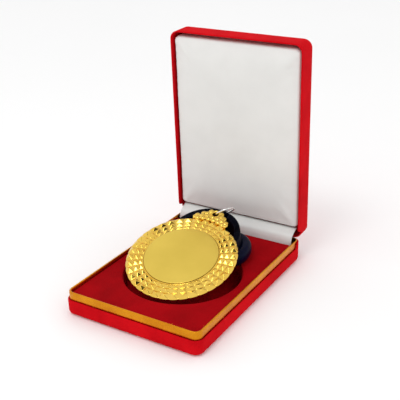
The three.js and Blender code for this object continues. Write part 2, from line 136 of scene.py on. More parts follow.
# ---- Mesh helpers ----
def moved(points, matrix):
    m = np.array(matrix)
    return np.asarray(points, float) @ m[:3, :3].T + m[:3, 3]


def smooth_step(x):
    x = np.clip(x, 0, 1)
    return x * x * (3 - 2 * x)


def wobble(points, scale, seed=0.0):
    """Smooth noise from -1 to 1 at each point; scale is the size of one bump in millimetres."""
    return np.array([noise.noise(Vector(p) / scale + Vector((seed, seed * 1.7, 0))) for p in points])


def make(name, points, faces, look, body=None, replaces=()):
    mesh = bpy.data.meshes.new(name)
    mesh.from_pydata((np.asarray(points) * MM).tolist(), [], faces)
    bm = bmesh.new()
    bm.from_mesh(mesh)
    bmesh.ops.recalc_face_normals(bm, faces=bm.faces)
    bm.to_mesh(mesh)
    bm.free()
    mesh.polygons.foreach_set("use_smooth", [True] * len(mesh.polygons))
    mesh.materials.append(look)
    obj = bpy.data.objects.new(name, mesh)
    bpy.context.scene.collection.objects.link(obj)
    if body:
        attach(obj, body)
    if replaces:
        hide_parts(*replaces)
    return obj


def loft(loops, ring=False):
    """Points and faces of a skin through loops of equal count: capped at the ends, or closed on itself."""
    loops = [np.asarray(loop, float) for loop in loops]
    count = len(loops[0])
    faces = []
    rows = len(loops) if ring else len(loops) - 1
    for row in range(rows):
        low, high = row * count, ((row + 1) % len(loops)) * count
        for i in range(count):
            j = (i + 1) % count
            faces.append((low + i, low + j, high + j, high + i))
    if not ring:
        faces.append(tuple(range(count))[::-1])
        faces.append(tuple((len(loops) - 1) * count + i for i in range(count)))
    return np.vstack(loops), faces


def outline(inset, half_w=None, half_l=None, corner=CORNER, nx=110, ny=84, turns=10):
    """The case's plan outline at an inset, counterclockwise, always with the same point count."""
    half_w = HALF_W if half_w is None else half_w
    half_l = HALF_L if half_l is None else half_l
    r = max(corner - inset, 0.3)
    ax, ay = half_w - inset - r, half_l - inset - r
    points = []

    def side(start, end, count):
        for i in range(count):
            t = i / count
            points.append((start[0] + (end[0] - start[0]) * t, start[1] + (end[1] - start[1]) * t))

    def bend(cx, cy, first):
        for i in range(turns):
            a = math.radians(first + 90 * i / turns)
            points.append((cx + r * math.cos(a), cy + r * math.sin(a)))

    side((ax + r, -ay), (ax + r, ay), ny)
    bend(ax, ay, 0)
    side((ax, ay + r), (-ax, ay + r), nx)
    bend(-ax, ay, 90)
    side((-ax - r, ay), (-ax - r, -ay), ny)
    bend(-ax, -ay, 180)
    side((-ax, -ay - r), (ax, -ay - r), nx)
    bend(ax, -ay, 270)
    return np.array(points)


def with_z(plan, z):
    return np.column_stack([plan, np.broadcast_to(z, len(plan))])


# ---- Materials ----
def look(name, color, roughness, metallic=0.0, **sockets):
    material = bpy.data.materials.new(name)
    material.use_nodes = True
    shader = material.node_tree.nodes["Principled BSDF"]
    shader.inputs["Base Color"].default_value = (*color, 1)
    shader.inputs["Roughness"].default_value = roughness
    shader.inputs["Metallic"].default_value = metallic
    for key, value in sockets.items():
        shader.inputs[key.replace("_", " ")].default_value = value
    return material


def noise_field(material, scale, detail=3.0, stretch=(1, 1, 1), rotation=(0, 0, 0)):
    tree = material.node_tree
    where = tree.nodes.new("ShaderNodeTexCoord")
    mapping = tree.nodes.new("ShaderNodeMapping")
    mapping.inputs["Scale"].default_value = stretch
    mapping.inputs["Rotation"].default_value = rotation
    field = tree.nodes.new("ShaderNodeTexNoise")
    field.inputs["Scale"].default_value = scale
    field.inputs["Detail"].default_value = detail
    tree.links.new(where.outputs["Object"], mapping.inputs["Vector"])
    tree.links.new(mapping.outputs["Vector"], field.inputs["Vector"])
    return field.outputs["Fac"]


def wave_field(material, scale, direction, distortion=0.0):
    tree = material.node_tree
    where = tree.nodes.new("ShaderNodeTexCoord")
    field = tree.nodes.new("ShaderNodeTexWave")
    field.bands_direction = direction
    field.inputs["Scale"].default_value = scale
    field.inputs["Distortion"].default_value = distortion
    tree.links.new(where.outputs["Object"], field.inputs["Vector"])
    return field.outputs["Fac"]


def mixed(material, first, second, kind="ADD"):
    node = material.node_tree.nodes.new("ShaderNodeMath")
    node.operation = kind
    for socket, value in zip(node.inputs, (first, second)):
        if isinstance(value, float):
            socket.default_value = value
        else:
            material.node_tree.links.new(value, socket)
    return node.outputs[0]


def shade(material, fac, dark, light, low=0.3, high=0.7):
    ramp = material.node_tree.nodes.new("ShaderNodeValToRGB")
    ramp.color_ramp.elements[0].position = low
    ramp.color_ramp.elements[0].color = (*dark, 1)
    ramp.color_ramp.elements[1].position = high
    ramp.color_ramp.elements[1].color = (*light, 1)
    material.node_tree.links.new(fac, ramp.inputs["Fac"])
    shader = material.node_tree.nodes["Principled BSDF"]
    material.node_tree.links.new(ramp.outputs["Color"], shader.inputs["Base Color"])


def rough(material, fac, low, high):
    span = material.node_tree.nodes.new("ShaderNodeMapRange")
    span.inputs["To Min"].default_value = low
    span.inputs["To Max"].default_value = high
    material.node_tree.links.new(fac, span.inputs["Value"])
    shader = material.node_tree.nodes["Principled BSDF"]
    material.node_tree.links.new(span.outputs["Result"], shader.inputs["Roughness"])


def bump(material, height, distance, strength=1.0):
    node = material.node_tree.nodes.new("ShaderNodeBump")
    node.inputs["Distance"].default_value = distance
    node.inputs["Strength"].default_value = strength
    material.node_tree.links.new(height, node.inputs["Height"])
    shader = material.node_tree.nodes["Principled BSDF"]
    material.node_tree.links.new(node.outputs["Normal"], shader.inputs["Normal"])


def velvet(name, dark, light):
    m = look(name, light, 0.9, Specular_IOR_Level=0.04, Sheen_Weight=0.35, Sheen_Roughness=0.35)
    m.node_tree.nodes["Principled BSDF"].inputs["Sheen Tint"].default_value = (0.9, 0.03, 0.04, 1)
    pile = noise_field(m, 2600, 2)
    nap = noise_field(m, 55, 4)
    tone = mixed(m, mixed(m, nap, 0.65, "MULTIPLY"), mixed(m, pile, 0.35, "MULTIPLY"))
    shade(m, tone, dark, light, 0.34, 0.62)
    bump(m, mixed(m, pile, mixed(m, nap, 1.2, "MULTIPLY")), 0.00025, 0.5)
    return m


VELVET = velvet("velvet_red", (0.47, 0.002, 0.006), (0.64, 0.004, 0.009))
# The pad's velvet is the case velvet made much darker: painted shade of the sunken pad top and the pocket.
PAD_VELVET_SHADED = velvet("velvet_pad_shaded", (0.255, 0.0008, 0.003), (0.37, 0.0012, 0.0045))

SATIN = look(
    "satin_white", (0.84, 0.84, 0.82), 0.42, Specular_IOR_Level=0.35, Sheen_Weight=0.15, Sheen_Roughness=0.3
)
threads = wave_field(SATIN, 900, "X")
weave = mixed(SATIN, threads, mixed(SATIN, wave_field(SATIN, 900, "DIAGONAL"), 0.6, "MULTIPLY"))
shade(SATIN, noise_field(SATIN, 40, 3), (0.735, 0.735, 0.715), (0.79, 0.79, 0.77))
rough(SATIN, noise_field(SATIN, 120, 3), 0.36, 0.5)
bump(SATIN, weave, 0.00003, 0.5)

GOLD = look("gold_plate", (0.90, 0.64, 0.17), 0.14, 1.0)
shade(GOLD, noise_field(GOLD, 130, 3), (0.76, 0.49, 0.075), (0.86, 0.58, 0.11))
rough(GOLD, noise_field(GOLD, 260, 4), 0.06, 0.14)
bump(GOLD, noise_field(GOLD, 420, 3), 0.00004, 0.5)

GOLD_DISC = look("gold_satin_disc", (0.86, 0.62, 0.13), 0.34, 1.0)
shade(GOLD_DISC, noise_field(GOLD_DISC, 45, 3), (0.70, 0.505, 0.085), (0.77, 0.56, 0.1))
rough(GOLD_DISC, noise_field(GOLD_DISC, 500, 4), 0.3, 0.4)
bump(GOLD_DISC, noise_field(GOLD_DISC, 1600, 2), 0.00001, 0.5)

FOIL = look("gold_foil", (0.86, 0.42, 0.04), 0.26, 1.0)
shade(FOIL, noise_field(FOIL, 70, 4), (0.58, 0.2, 0.008), (0.75, 0.31, 0.014))
rough(FOIL, noise_field(FOIL, 300, 4), 0.18, 0.36)
bump(FOIL, mixed(FOIL, noise_field(FOIL, 380, 5), noise_field(FOIL, 1100, 2)), 0.0001, 0.5)

STEEL = look("hinge_steel", (0.66, 0.67, 0.68), 0.3, 1.0)
shade(STEEL, noise_field(STEEL, 160, 4), (0.55, 0.56, 0.57), (0.74, 0.75, 0.76))
rough(STEEL, noise_field(STEEL, 700, 3, (0.1, 1, 1)), 0.22, 0.42)
bump(STEEL, noise_field(STEEL, 1500, 2, (0.08, 1, 1)), 0.00002, 0.5)

NICKEL = look("ring_nickel", (0.82, 0.81, 0.79), 0.12, 1.0)
shade(NICKEL, noise_field(NICKEL, 300, 3), (0.74, 0.73, 0.71), (0.86, 0.85, 0.83))
rough(NICKEL, noise_field(NICKEL, 900, 3), 0.08, 0.2)
bump(NICKEL, noise_field(NICKEL, 2000, 2), 0.00001, 0.4)

FOAM = look("sponge_grey", (0.3, 0.28, 0.27), 0.95, Specular_IOR_Level=0.1)
shade(FOAM, noise_field(FOAM, 900, 3), (0.12, 0.11, 0.1), (0.36, 0.34, 0.33))
bump(FOAM, noise_field(FOAM, 1100, 3), 0.0004, 0.8)

CARD = look("grey_card", (0.5, 0.47, 0.43), 0.85, Specular_IOR_Level=0.2)
shade(CARD, noise_field(CARD, 700, 5, (0.3, 1, 1)), (0.44, 0.41, 0.37), (0.55, 0.52, 0.48))
bump(CARD, noise_field(CARD, 1500, 3, (0.4, 1, 1)), 0.00005, 0.5)

# The roll's ribbon is a greyer near-black copy of the navy ribbon below: painted shade on the rolled turns.
RIBBON = look("ribbon_roll_shaded", (0.004, 0.005, 0.012), 0.5, Specular_IOR_Level=0.06)
shade(RIBBON, noise_field(RIBBON, 500, 3), (0.003, 0.0035, 0.008), (0.005, 0.006, 0.015))
rough(RIBBON, noise_field(RIBBON, 200, 3), 0.45, 0.6)
bump(RIBBON, noise_field(RIBBON, 2600, 2, (1, 1, 0.15)), 0.00005, 0.6)

RIBBON_FACE = look("ribbon_navy", (0.001, 0.002, 0.014), 0.34, Specular_IOR_Level=0.05)
shade(RIBBON_FACE, noise_field(RIBBON_FACE, 400, 3), (0.0009, 0.0016, 0.011), (0.0018, 0.0032, 0.021))
rough(RIBBON_FACE, noise_field(RIBBON_FACE, 200, 3), 0.24, 0.4)
bump(RIBBON_FACE, noise_field(RIBBON_FACE, 2600, 2, (1, 1, 0.15)), 0.00004, 0.5)


# ---- Case skins ----
def near_slot(plan, half_l=HALF_L, blend=0.5):
    """1 where a back-wall point lies in a hinge slot, 0 elsewhere, with a short blend."""
    x, y = plan[:, 0], plan[:, 1]
    inside = np.zeros(len(plan))
    for centre in (-HINGE_X, HINGE_X):
        inside = np.maximum(inside, smooth_step((SLOT_HALF + blend / 2 - abs(x - centre)) / blend))
    return np.where(y > half_l - 3, inside, 0)


def tray(front, back, slot_depth):
    """A velvet-covered tray with a rolled rim: its outer face is at z = 0 and its rim at front or back."""
    edge = outline(0)
    rise = smooth_step((edge[:, 1] - (HALF_L - CORNER - 2)) / 2)
    rim = front + (back - front) * rise - slot_depth * near_slot(edge)
    loops = []
    for inset in (44, 30, 16, 8, 4.5):
        loops.append(with_z(outline(inset), 0.0))
    for step in range(7):
        a = math.pi / 2 * step / 6
        loops.append(with_z(outline(EDGE - EDGE * math.sin(a)), EDGE - EDGE * math.cos(a)))
    lip = WALL / 2
    for share in (0.33, 0.66, 1.0):
        loops.append(with_z(outline(0), EDGE + (rim - lip - EDGE) * share))
    for step in range(1, 8):
        a = math.pi * step / 8
        loops.append(with_z(outline(lip - lip * math.cos(a)), rim - lip + lip * math.sin(a)))
    inner = EDGE - WALL
    for share in (1.0, 0.66, 0.33):
        loops.append(with_z(outline(WALL), EDGE + (rim - lip - EDGE) * share))
    for step in range(5):
        a = math.pi / 2 * (1 - step / 4)
        loops.append(with_z(outline(EDGE - inner * math.sin(a)), EDGE - inner * math.cos(a)))
    for inset in (4.5, 8, 16, 30, 44):
        loops.append(with_z(outline(inset), WALL))
    return loft(loops)


def soft_hand(points, low_z=0.6, amount=0.06):
    """A little unevenness, as velvet pulled over a pressed tray has, on everything but the underside."""
    lift = wobble(points, 14.0, 3.1) * amount * np.clip((points[:, 2] - low_z) / 2, 0, 1)
    out = np.column_stack([points[:, 0] / HALF_W, points[:, 1] / HALF_L, np.zeros(len(points))])
    return points + out * lift[:, None]


points, faces = tray(BASE_RIM, BACK_WALL_Z, 0.95)
make(
    "base_skin", soft_hand(points), faces, VELVET, "case_base", ("base_velvet_cover", "base_shell")
)

points, faces = tray(LID_TOP - BASE_RIM - 0.15, LID_TOP - LID_BACK - 0.05, 1.65)
points = soft_hand(points) * (-1, 1, -1) + (0, 0, LID_TOP)
make("lid_skin", moved(points, LID), faces, VELVET, "case_lid", ("lid_velvet_cover", "lid_shell"))


# ---- Foil collar ----
def build_collar():
    plan = outline(COLLAR_INSET, turns=44)
    top = COLLAR_TOP - (COLLAR_TOP - COLLAR_FOOT - 1.1) * near_slot(plan, blend=0.3)
    half = COLLAR_THICK / 2
    rows = [(0, COLLAR_FOOT, 0.0)]
    rows += [(0, None, -half - drop) for drop in (3.6, 2.4, 1.2)]
    for step in range(9):
        a = math.pi * step / 8
        rows.append((half - half * math.cos(a), None, -half + half * math.sin(a)))
    rows += [(COLLAR_THICK, None, -half - drop) for drop in (1.2, 2.4)]
    rows.append((COLLAR_THICK, COLLAR_FOOT, 0.0))
    past_x, past_y = abs(plan[:, 0]) - (HALF_W - CORNER), abs(plan[:, 1]) - (HALF_L - CORNER)
    spread = np.hypot(np.clip(past_x, 0, None), np.clip(past_y, 0, None))
    heading = np.arctan2(past_y, past_x)
    in_corner = (past_x > 0) & (past_y > 0) & (spread > 3)
    pleat = np.where(in_corner, np.sin(heading * 4 * 9) * 0.13, 0)
    loops = []
    for inset, z, offset in rows:
        height = np.full(len(plan), z) if z is not None else np.maximum(top + offset, COLLAR_FOOT + 0.2)
        ring = with_z(outline(COLLAR_INSET + inset, turns=44), height)
        near_top = np.clip(1 - (top - height) / 4.5, 0, 1)
        crinkle = wobble(ring * (1, 1, 1.6), 4.2, 7.7) * 0.055 + wobble(ring * (1, 1, 1.6), 1.7, 2.2) * 0.018
        out = np.column_stack([plan[:, 0] / HALF_W, plan[:, 1] / HALF_L]) * 0.7
        shift = (crinkle - 0.08 + pleat - abs(pleat).max() * (pleat != 0)) * near_top
        ring[:, :2] += out * shift[:, None] * (1 if inset < half else 0.6)
        loops.append(ring)
    points, faces = loft(loops, ring=True)
    return make("collar_foil", points, faces, FOIL, "case_base", ("gold_collar",))


build_collar()


# ---- Pad and its pocket ----
def pocket_radius(angles, margin=0.0):
    """How far the pocket's edge lies from the pocket's centre, at each angle: two round bays joined."""
    ux, uy = np.cos(angles), np.sin(angles)
    dx, dy = BAY[0] - POCKET[0], BAY[1] - POCKET[1]
    along = ux * dx + uy * dy
    inside = along**2 - dx * dx - dy * dy + (BAY[2] + margin) ** 2
    reach = np.where((inside > 0) & (along > 0), along + np.sqrt(np.clip(inside, 0, None)), 0)
    return np.maximum(POCKET[2] + margin, reach)


def pad_radius(angles, inset=0.0):
    """How far the pad's rim lies from the pocket's centre, at each angle."""
    found = []
    for a in angles:
        ux, uy = math.cos(a), math.sin(a)
        reach = []
        if abs(ux) > 1e-9:
            reach.append((math.copysign(PAD_X - inset, ux) - POCKET[0]) / ux)
        if abs(uy) > 1e-9:
            wall = PAD_REAR - inset if uy > 0 else PAD_FRONT + inset
            reach.append((wall - POCKET[1]) / uy)
        r = min(reach)
        corner = 3.25
        x, y = POCKET[0] + ux * r, POCKET[1] + uy * r
        cx, cy = math.copysign(PAD_X - inset - corner, ux), PAD_FRONT + inset + corner
        if y < cy and abs(x) > abs(cx):
            px, py = cx - POCKET[0], cy - POCKET[1]
            along = ux * px + uy * py
            r = along + math.sqrt(max(along**2 - px * px - py * py + corner**2, 0))
        found.append(r)
    return np.array(found)


def pad_angles():
    angles = list(np.linspace(0, TAU, 480, endpoint=False))
    for x, y in ((PAD_X, PAD_REAR), (-PAD_X, PAD_REAR)):
        angles.append(math.atan2(y - POCKET[1], x - POCKET[0]) % TAU)
    return np.array(sorted(angles))


def polar(angles, radius, z):
    x, y = POCKET[0] + np.cos(angles) * radius, POCKET[1] + np.sin(angles) * radius
    return np.column_stack([x, y, np.broadcast_to(z, len(angles))])


def build_pad():
    angles = pad_angles()
    inner, outer = pocket_radius(angles), pad_radius(angles)
    skin, bend = 0.25, 1.0
    low = CARD_TOP + 0.55
    loops = [polar(angles, inner, z) for z in np.linspace(low, PAD_Z - bend, 7)]
    for step in range(1, 7):
        a = math.pi / 2 * step / 6
        loops.append(polar(angles, inner + bend - bend * math.cos(a), PAD_Z - bend + bend * math.sin(a)))
    for share in np.linspace(0, 1, 22)[1:]:
        ring = polar(angles, inner + bend + (outer - inner - 2 * bend) * share, PAD_Z)
        puff = np.sin(math.pi * share) ** 0.6 * 0.12
        ring[:, 2] += puff + wobble(ring, 11, 5.5) * 0.07 * math.sin(math.pi * share)
        loops.append(ring)
    for step in range(1, 6):
        a = math.pi / 2 * step / 5
        loops.append(polar(angles, outer - bend + bend * math.sin(a), PAD_Z - bend + bend * math.cos(a)))
    loops.append(polar(angles, outer, PAD_Z - bend - 0.4))
    loops.append(polar(angles, outer - skin, PAD_Z - bend - 0.4))
    for step in range(3):
        a = math.pi / 2 * (1 - step / 2)
        core = bend - skin
        loops.append(polar(angles, outer - bend + core * math.sin(a), PAD_Z - bend + core * math.cos(a)))
    for share in (0.66, 0.33):
        loops.append(polar(angles, inner + bend + (outer - inner - 2 * bend) * share, PAD_Z - skin))
    for step in range(4):
        a = math.pi / 2 * (1 - step / 3)
        core = bend - skin
        loops.append(polar(angles, inner + bend - core * math.cos(a), PAD_Z - bend + core * math.sin(a)))
    loops.append(polar(angles, inner + skin, low))
    points, faces = loft(loops, ring=True)
    pad = make("pad_top", points, faces, PAD_VELVET_SHADED, "case_base", ("pad_velvet",))

    inner, outer = pocket_radius(angles, 0.55), pad_radius(angles, 0.5)
    loops = []
    for z in np.linspace(low + 0.1, PAD_Z - 0.5, 8):
        loops.append(polar(angles, inner, z))
    for share in np.linspace(0, 1, 12)[1:-1]:
        loops.append(polar(angles, inner + (outer - inner) * share, PAD_Z - 0.5))
    for z in np.linspace(PAD_Z - 0.5, low + 0.1, 8):
        loops.append(polar(angles, outer, z))
    for share in (0.8, 0.5, 0.2):
        loops.append(polar(angles, inner + (outer - inner) * share, low + 0.1))
    points, faces = loft(loops, ring=True)
    middle_z = 8.0
    points[:, 2] += np.sign(middle_z - points[:, 2]) * abs(wobble(points, 1.3, 9.0)) * 0.06
    core = make("pad_core", points, faces, FOAM, "case_base", ("pad_foam",))


build_pad()


# ---- Lid lining ----
def evaluated(obj):
    graph = bpy.context.evaluated_depsgraph_get()
    graph.update()
    return bpy.data.meshes.new_from_object(obj.evaluated_get(graph))


def coords(mesh):
    data = np.empty(len(mesh.vertices) * 3)
    mesh.vertices.foreach_get("co", data)
    return data.reshape(-1, 3)


def scratch(points, faces, scale):
    mesh = bpy.data.meshes.new("scratch")
    mesh.from_pydata((np.asarray(points) * scale).tolist(), [], faces)
    bm = bmesh.new()
    bm.from_mesh(mesh)
    bmesh.ops.recalc_face_normals(bm, faces=bm.faces)
    bm.to_mesh(mesh)
    bm.free()
    obj = bpy.data.objects.new("scratch", mesh)
    bpy.context.scene.collection.objects.link(obj)
    return obj


def remeshed(points, faces, voxel, scale=1.0):
    """The same solid as one even skin. Sizes are in the scaled units."""
    obj = scratch(points, faces, scale)
    modifier = obj.modifiers.new("even", "REMESH")
    modifier.mode = "VOXEL"
    modifier.voxel_size = voxel
    mesh = evaluated(obj)
    bpy.data.objects.remove(obj)
    return mesh


def puffed(mesh, held, cap, frames=20):
    """Cloth blown up from inside for a few frames; the held points stay, and no point moves past the cap."""
    obj = bpy.data.objects.new("puff", mesh)
    bpy.context.scene.collection.objects.link(obj)
    start = coords(mesh)
    group = obj.vertex_groups.new(name="held")
    group.add([int(i) for i in np.nonzero(held(start))[0]], 1.0, "REPLACE")
    cloth = obj.modifiers.new("cloth", "CLOTH")
    settings = cloth.settings
    settings.quality = 5
    settings.use_pressure = True
    settings.uniform_pressure_force = 4
    settings.effector_weights.gravity = 0
    settings.vertex_group_mass = "held"
    settings.tension_stiffness = 12
    settings.bending_stiffness = 0.3
    for number in range(1, frames + 1):
        bpy.context.scene.frame_set(number)
    result = coords(evaluated(obj))
    bpy.context.scene.frame_set(1)
    bpy.data.objects.remove(obj)
    step = result - start
    length = np.linalg.norm(step, axis=1, keepdims=True)
    return start + step * np.minimum(1, cap / np.maximum(length, 1e-9))


# The wadding springs up to here when the lid is open; shut, it is pressed clear of the collar.
LINING_FACE = 12.3
LINING_BACK = LID_TOP - 1.1 - 1.5 - 0.15
LINING_REAR = HALF_L - 8.3
LINING_FRONT = -HALF_L + WALL + 1.8


def build_lining():
    half_w = HALF_W - WALL - 0.25
    half_l = (LINING_REAR - LINING_FRONT) / 2
    middle = (LINING_REAR + LINING_FRONT) / 2
    loops = []
    for inset, z in (
        (40, LINING_BACK), (20, LINING_BACK), (6, LINING_BACK), (1.4, LINING_BACK), (0.5, LINING_BACK - 0.4),
        (0.3, LINING_BACK - 4), (0.1, LINING_FACE + 2.6), (0.15, LINING_FACE + 1.4), (0.5, LINING_FACE + 0.6),
        (1.2, LINING_FACE + 0.15), (2.8, LINING_FACE), (8, LINING_FACE), (20, LINING_FACE), (40, LINING_FACE),
    ):
        ring = with_z(outline(inset, half_w, half_l, 4.3, nx=48, ny=64, turns=5), z)
        ring[:, 1] += middle
        loops.append(ring)
    points, faces = loft(loops)
    scale = 0.01
    mesh = remeshed(points, faces, 0.014, scale)
    shape = coords(mesh)
    shape = puffed(mesh, lambda p: p[:, 2] > (LINING_BACK - 2.5) * scale, 0.9 * scale)
    shape = shape / scale
    shape[:, 0] = np.clip(shape[:, 0], -half_w, half_w)
    shape[:, 1] = np.clip(shape[:, 1], LINING_FRONT, LINING_REAR + 0.3)
    obj = scratch(shape, [tuple(p.vertices) for p in mesh.polygons], 1.0)
    modifier = obj.modifiers.new("fine", "SUBSURF")
    modifier.levels = modifier.render_levels = 1
    fine = evaluated(obj)
    bpy.data.objects.remove(obj)
    shape = coords(fine)
    # Soft puckers along the tucked edges, and a slow unevenness of the wadding.
    edge_x = half_w - abs(shape[:, 0])
    edge_y = np.minimum(LINING_REAR - shape[:, 1], shape[:, 1] - LINING_FRONT)
    facing = smooth_step((LINING_FACE + 3.0 - shape[:, 2]) / 2.0)
    pucker = np.exp(-edge_x / 5) * np.sin(shape[:, 1] * 0.9 + 2 * np.sin(shape[:, 1] * 0.23))
    pucker += np.exp(-edge_y / 5) * np.sin(shape[:, 0] * 0.85 + 2 * np.sin(shape[:, 0] * 0.21))
    shape[:, 2] += facing * (pucker * 0.1 + wobble(shape * (1, 1, 0), 26, 4.4) * 0.22)
    shape[:, 2] = np.maximum(shape[:, 2], BASE_RIM + 0.4)
    faces = [tuple(p.vertices) for p in fine.polygons]
    lining = make("lid_lining", moved(shape, LID), faces, SATIN, "case_lid", ("lid_liner",))
    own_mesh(lining)


build_lining()


# ---- Sheets of cloth: a band swept along stations ----
def band(name, lines, thickness, look):
    """A closed thin band. lines[i] is the row of points across the cloth at station i."""
    lines = np.asarray(lines)
    along = np.gradient(lines, axis=0)
    across = np.gradient(lines, axis=1)
    normal = np.cross(along, across)
    normal /= np.maximum(np.linalg.norm(normal, axis=2, keepdims=True), 1e-9)
    front = lines + normal * thickness / 2
    back = lines - normal * thickness / 2
    rows, cols = lines.shape[:2]
    points = np.vstack([front.reshape(-1, 3), back.reshape(-1, 3)])
    offset = rows * cols
    faces = []
    for i in range(rows - 1):
        for j in range(cols - 1):
            a = i * cols + j
            faces.append((a, a + 1, a + cols + 1, a + cols))
            faces.append((offset + a, offset + a + cols, offset + a + cols + 1, offset + a + 1))
    for i in range(rows - 1):
        for j, flip in ((0, False), (cols - 1, True)):
            a, b = i * cols + j, (i + 1) * cols + j
            faces.append((a, b, offset + b, offset + a) if not flip else (b, a, offset + a, offset + b))
    for j in range(cols - 1):
        for i, flip in ((0, True), (rows - 1, False)):
            a, b = i * cols + j, i * cols + j + 1
            faces.append((a, b, offset + b, offset + a) if not flip else (b, a, offset + a, offset + b))
    return make(name, points, faces, look)


def spline(points, count):
    """A smooth curve through the points (Catmull-Rom), sampled evenly in its parameter."""
    points = np.asarray(points, float)
    padded = np.vstack([2 * points[0] - points[1], points, 2 * points[-1] - points[-2]])
    result = []
    for t in np.linspace(0, len(points) - 1, count):
        i = min(int(t), len(points) - 2)
        u = t - i
        p0, p1, p2, p3 = padded[i : i + 4]
        square, cube = 2 * p0 - 5 * p1 + 4 * p2 - p3, 3 * p1 - p0 - 3 * p2 + p3
        result.append(0.5 * (2 * p1 + (p2 - p0) * u + square * u**2 + cube * u**3))
    return np.array(result)


def build_strip():
    foot_y = AXIS_Y + PAD_Z - AXIS_Z
    foot_z = AXIS_Z + 8.0
    path = [
        (PAD_REAR + 0.75, PAD_Z - 2.6),
        (PAD_REAR + 0.95, PAD_Z + 0.4),
        (PAD_REAR + 1.3, PAD_Z + 2.9),
        (PAD_REAR + 2.4, PAD_Z + 5.4),
        ((PAD_REAR + foot_y) / 2 + 0.7, PAD_Z + 7.2),
        (foot_y + 0.4, foot_z - 0.55),
        (foot_y + 2.2, foot_z - 0.9),
    ]
    profile = spline(path, 30)
    half = 46.3
    lines = []
    for x in np.linspace(-half, half, 190):
        row = []
        for k, (y, z) in enumerate(profile):
            t = k / (len(profile) - 1)
            soft = math.sin(math.pi * min(1, t * 1.1)) ** 0.8 if t < 0.9 else math.sin(math.pi * 0.99) ** 0.8
            fold = noise.noise(Vector((x / 9.0, t * 0.7, 1.0))) * 0.5
            fold += noise.noise(Vector((x / 3.2, t * 0.9, 4.0))) * 0.16
            row.append((x, y - fold * soft * 0.75, z + fold * soft * 0.45))
        lines.append(row)
    strip = band("hinge_strip", lines, 0.3, SATIN)
    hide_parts("hinge_satin_strip")
    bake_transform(strip)


build_strip()


# ---- Medal ----
def facet_height(ring, v, across):
    """The front face of the casting: rings of four-sided pyramids with slightly worn ridges."""
    tip = (1.65, 1.36, 1.15)[ring]
    outer, inner = ((-1.9, -1.45), (-1.45, -1.3), (-1.3, -1.1))[ring]
    along = (v - APEX) / (1 - APEX) if v > APEX else (APEX - v) / APEX
    ridge = 1 - (across**9 + along**9) ** (1 / 9)
    return inner + (outer - inner) * v + tip * np.maximum(ridge, -0.04)


def build_medal_round():
    columns = 2 * FACET_STEPS
    angles = np.linspace(0, TAU, FACETS * columns, endpoint=False)
    across = abs((angles * FACETS / TAU) % 1 - 0.5) * 2
    rim = MEDAL_R - 0.4 * across**4

    def circle(radius, z):
        x, y = np.cos(angles) * radius, np.sin(angles) * radius
        return np.column_stack([x, y, np.broadcast_to(z, len(angles))])

    loops = [circle(r, -1.2) for r in (2, 12, 22, 24.8)]
    loops += [circle(SEAT_R - 0.08, -1.2), circle(SEAT_R, -1.12)]
    loops += [circle(SEAT_R, -0.78), circle(SEAT_R + 0.12, -0.66)]
    loops += [circle(RINGS[3] - 0.2, -0.66), circle(RINGS[3] - 0.06, -0.8)]
    shares = [APEX * k / FACET_STEPS for k in range(FACET_STEPS)]
    shares += [APEX + (1 - APEX) * k / FACET_STEPS for k in range(FACET_STEPS)]
    first = len(loops)
    for k in (2, 1, 0):
        outer, inner = RINGS[k], RINGS[k + 1]
        for share in shares + ([1.0] if k == 0 else []):
            radius = inner + (outer - inner) * share
            push = smooth_step((radius - 34) / (RINGS[0] - 34)) * (rim - RINGS[0] - 0.25)
            loops.append(circle(radius + push * 0.6, facet_height(k, share, across)))
    last = len(loops) - 1
    loops.append(circle(rim - 0.08, -2.05))
    loops.append(circle(rim, -2.3))
    loops.append(circle(rim, -2.7))
    loops.append(circle(rim - 0.12, -2.92))
    loops.append(circle(rim - 0.35, -MEDAL_T))
    loops.append(circle(35.9, -MEDAL_T))
    loops.append(circle(35.5, -2.75))
    loops += [circle(r, -2.72) for r in (34, 24, 12, 2)]
    points, faces = loft(loops)
    count = len(angles)
    cut = []
    for face in faces:
        row, column = divmod(face[0], count)
        if len(face) != 4 or not first <= row < last:
            cut.append(face)
            continue
        a, b, c, d = face
        leaning = (column % columns < FACET_STEPS) == ((row - first) % columns < FACET_STEPS)
        cut += [(a, b, c), (a, c, d)] if leaning else [(a, b, d), (b, c, d)]
    return points, cut


def sphere_parts(parts):
    """One mesh of many squashed balls: each is (x, y, z, rx, ry, rz, turn)."""
    bm = bmesh.new()
    for x, y, z, rx, ry, rz, turn in parts:
        place = Matrix.Translation((x, y, z)) @ Matrix.Rotation(turn, 4, "Z")
        place = place @ Matrix.Diagonal((rx, ry, rz, 1))
        bmesh.ops.create_uvsphere(bm, u_segments=24, v_segments=14, radius=1.0, matrix=place)
    return bm


